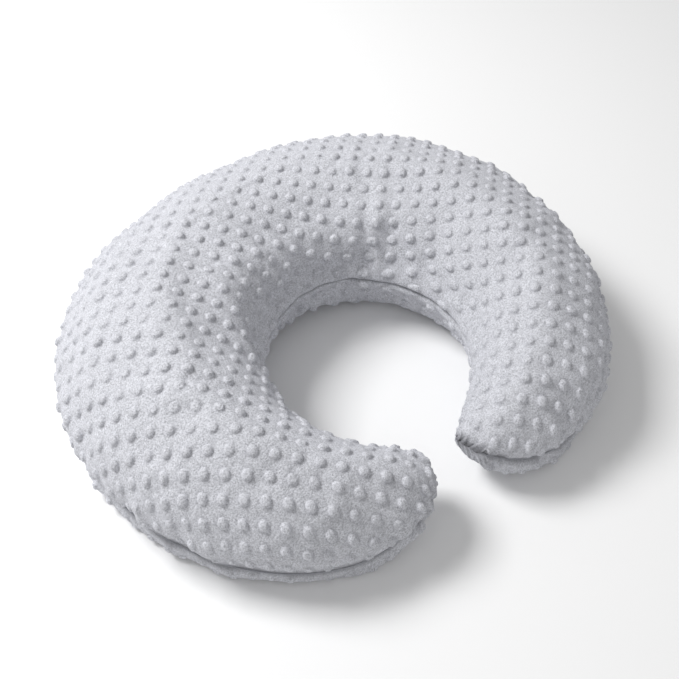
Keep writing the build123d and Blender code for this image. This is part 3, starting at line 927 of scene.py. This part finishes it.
def grained(name, colour, grain, roughness, metallic=0.0, relief=0.2, stretch=(1, 1, 1), **sockets):
    """A surface with fine grain in its relief, its roughness and, faintly, its colour."""
    material = new_material(name, colour, Roughness=roughness, Metallic=metallic, **sockets)
    place = add(material, "ShaderNodeTexCoord").outputs["Object"]
    scaled = add(material, "ShaderNodeMapping", {"Vector": place}, Scale=stretch)
    noise = add(material, "ShaderNodeTexNoise", {"Vector": scaled.outputs["Vector"]}, Scale=1 / grain,
                Detail=3.0)
    tone = add(material, "ShaderNodeMix", {"Factor": noise.outputs["Fac"]},
               {6: shaded(colour, 0.88), 7: shaded(colour, 1.08)}, data_type="RGBA")
    dull = add(material, "ShaderNodeMapRange", {"Value": noise.outputs["Fac"]},
               {"To Min": max(roughness - 0.12, 0), "To Max": min(roughness + 0.12, 1)})
    bump = add(material, "ShaderNodeBump", {"Height": noise.outputs["Fac"]}, Strength=relief, Distance=grain)
    feed(material, {"Base Color": tone.outputs[2], "Roughness": dull.outputs["Result"],
                    "Normal": bump.outputs["Normal"]})
    return material


def thread_material():
    """Spun polyester sewing thread: matte, with a fine twist across it."""
    return grained("spun_thread", cover().thread, 0.3 * MM, 0.8, relief=0.5)


def zinc_material():
    """Tumbled zinc die casting: soft satin reflections with fine tumbling marks."""
    return grained("tumbled_zinc", linear("B9BABD"), 0.25 * MM, 0.34, metallic=1.0, relief=0.08)


def repaint(material, *nodes):
    """Gives carried-over CAD nodes a material."""
    for name in nodes:
        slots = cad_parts[name].data.materials
        slots.clear()
        slots.append(material)


def settle(piece, node):
    """Puts a piece in the place of the CAD node it stands for."""
    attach(piece, "pillow")
    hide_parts(node)
    return piece


# ---- operators ----
class PILLOW_OT_cover(bpy.types.Operator):
    """Makes the upper and lower panels of the plush slip cover"""
    bl_idname = "pillow.cover"
    bl_label = "Plush cover"

    def execute(self, context):
        plush = plush_material()
        folded = simulated_folds()
        for name, node, side in (("upper_plush_panel", "cover_top_panel", 1),
                                 ("lower_plush_panel", "cover_bottom_panel", -1)):
            panel = settle(cover_panel(name, side, plush, folded), node)
        return {"FINISHED"}


class PILLOW_OT_seams(bpy.types.Operator):
    """Makes the row of stitches and the overlocked edge inside the cover's seam"""
    bl_idname = "pillow.seams"
    bl_label = "Cover seam"

    def execute(self, context):
        thread = thread_material()
        row = stitch_row("lockstitch_row", *open_at_zip(*seam_loop(SEWN_IN, 0.5 * MM)), (0.25, 0.35),
                         (0.18, 0.2), thread)
        settle(row, "cover_seam_stitching")
        path, marks = open_at_zip(*seam_loop(OVERLOCK_IN, 0.45 * MM))
        ahead = unit(np.gradient(path, axis=0))
        wind = 2 * pi * marks[:, None] / OVERLOCK_PITCH
        path = path + np.cross(ahead, UP) * 0.75 * MM * np.cos(wind) + UP * MM * np.sin(wind)
        wrap = tube("overlock_wrap", path, ahead, 0.25 * MM, thread)
        settle(wrap, "cover_overlock_thread")
        return {"FINISHED"}


class PILLOW_OT_filling(bpy.types.Operator):
    """Makes the woven inner case, its stitching and the fibre filling"""
    bl_idname = "pillow.filling"
    bl_label = "Inner case and filling"

    def execute(self, context):
        c = cover()
        cotton = woven("woven_cotton", c.cotton, 0.45 * MM)
        for name, node, side in (("upper_case_panel", "inner_case_top", 1),
                                 ("lower_case_panel", "inner_case_bottom", -1)):
            panel = settle(case_panel(name, side, cotton), node)
        row = stitch_row("case_stitch_row", *seam_loop(CASE_EDGE + SEWN_IN, 0.6 * MM), (0.7, 0.3),
                         (0.15, 0.15), thread_material(), closed=True)
        settle(row, "inner_case_stitching")
        fibre = grained("hollow_fibre", c.fibre, 2.2 * MM, 0.95, relief=0.9, stretch=(1, 0.35, 1),
                        **{"Sheen Weight": 0.4, "Subsurface Weight": 0.1})
        batt = settle(fibre_batt("fibre_batt", fibre), "fibre_fill")
        return {"FINISHED"}


class PILLOW_OT_zip(bpy.types.Operator):
    """Winds the zip's coils and finishes its tapes, stitches, stops, slider and pull"""
    bl_idname = "pillow.zip"
    bl_label = "Zip"

    def execute(self, context):
        c = cover()
        nylon = grained("moulded_nylon", c.nylon, 0.5 * MM, 0.42, relief=0.05)
        for name, node, phase in (("upper_coil", "zip_coil_upper", 0.0),
                                  ("lower_coil", "zip_coil_lower", pi)):
            low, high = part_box(node)
            settle(zip_coil(name, low, high, phase, nylon), node)
        repaint(woven("herringbone_tape", c.backing, 0.5 * MM, relief=0.5), "zip_tape_upper", "zip_tape_lower")
        repaint(thread_material(), "zip_stitching_upper", "zip_stitching_lower", "zip_bar_tacks")
        repaint(zinc_material(), "zip_top_stops", "zip_bottom_stop", "zip_slider", "zip_pull")
        return {"FINISHED"}


class PILLOW_OT_label(bpy.types.Operator):
    """Makes the blank care label inside the cover"""
    bl_idname = "pillow.label"
    bl_label = "Care label"

    def execute(self, context):
        satin = woven("label_satin", cover().satin, 0.25 * MM, roughness=0.4, relief=0.15, sheen=0.3)
        label = settle(care_label("satin_label", satin), "care_label")
        return {"FINISHED"}


class PILLOW_OT_stage(bpy.types.Operator):
    """Sets the floor, the soft studio light and the camera"""
    bl_idname = "pillow.stage"
    bl_label = "Stage"

    def execute(self, context):
        st, s = stage(), shape()
        bpy.ops.mesh.primitive_plane_add(size=12)
        floor = context.object
        floor.name = "floor"
        # Matte seamless paper: no gloss, so the pillow's shadow falls off softly.
        floor.data.materials.append(new_material("floor_paper", st.floor, Roughness=0.9))

        world = bpy.data.worlds.new("studio")
        world.use_nodes = True
        room = world.node_tree.nodes["Background"].inputs
        room["Color"].default_value = (1, 1, 1, 1)
        room["Strength"].default_value = ROOM_LIGHT
        context.scene.world = world
        context.scene.view_settings.view_transform = "Standard"

        aim = Vector((st.aim_right, s.waist_centre + st.aim_back, 0))
        for name, at, size, energy in LIGHTS:
            lamp = bpy.data.lights.new(name, "AREA")
            lamp.size = size
            lamp.energy = energy
            light = bpy.data.objects.new(name, lamp)
            context.scene.collection.objects.link(light)
            light.location = at
            light.rotation_euler = (aim - light.location).to_track_quat("-Z", "Y").to_euler()

        lens = bpy.data.cameras.new("camera")
        lens.lens = st.focal
        lens.sensor_width = 36
        camera = bpy.data.objects.new("camera", lens)
        context.scene.collection.objects.link(camera)
        level = cos(st.elevation)
        out = Vector((sin(st.azimuth) * level, -cos(st.azimuth) * level, sin(st.elevation)))
        camera.location = aim + out * st.distance
        camera.rotation_euler = (-out).to_track_quat("-Z", "Y").to_euler()
        context.scene.camera = camera
        return {"FINISHED"}


class PILLOW_PT_panel(bpy.types.Panel):
    """Lists the pillow's settings and pieces"""
    bl_idname = "PILLOW_PT_panel"
    bl_label = "Nursing pillow"
    bl_space_type = "VIEW_3D"
    bl_region_type = "UI"
    bl_category = "Nursing pillow"

    def draw(self, context):
        for settings in (shape(), cover(), stage()):
            box = self.layout.box()
            for key in settings.__annotations__:
                box.prop(settings, key)
        for operator in OPERATORS:
            self.layout.operator(operator.bl_idname)


SETTINGS = {"pillow_shape": PillowShape, "plush_cover": PlushCover, "studio_stage": StudioStage}
OPERATORS = (PILLOW_OT_cover, PILLOW_OT_seams, PILLOW_OT_filling, PILLOW_OT_zip, PILLOW_OT_label,
             PILLOW_OT_stage)


def register():
    for name, group in SETTINGS.items():
        bpy.utils.register_class(group)
        setattr(bpy.types.Scene, name, bpy.props.PointerProperty(type=group))
    for item in OPERATORS:
        bpy.utils.register_class(item)
    bpy.utils.register_class(PILLOW_PT_panel)


def unregister():
    bpy.utils.unregister_class(PILLOW_PT_panel)
    for item in reversed(OPERATORS):
        bpy.utils.unregister_class(item)
    for name, group in reversed(SETTINGS.items()):
        delattr(bpy.types.Scene, name)
        bpy.utils.unregister_class(group)


def main():
    register()
    bpy.ops.pillow.cover()
    bpy.ops.pillow.seams()
    bpy.ops.pillow.filling()
    bpy.ops.pillow.zip()
    bpy.ops.pillow.label()
    bpy.ops.pillow.stage()


if __name__ == "__main__":
    main()
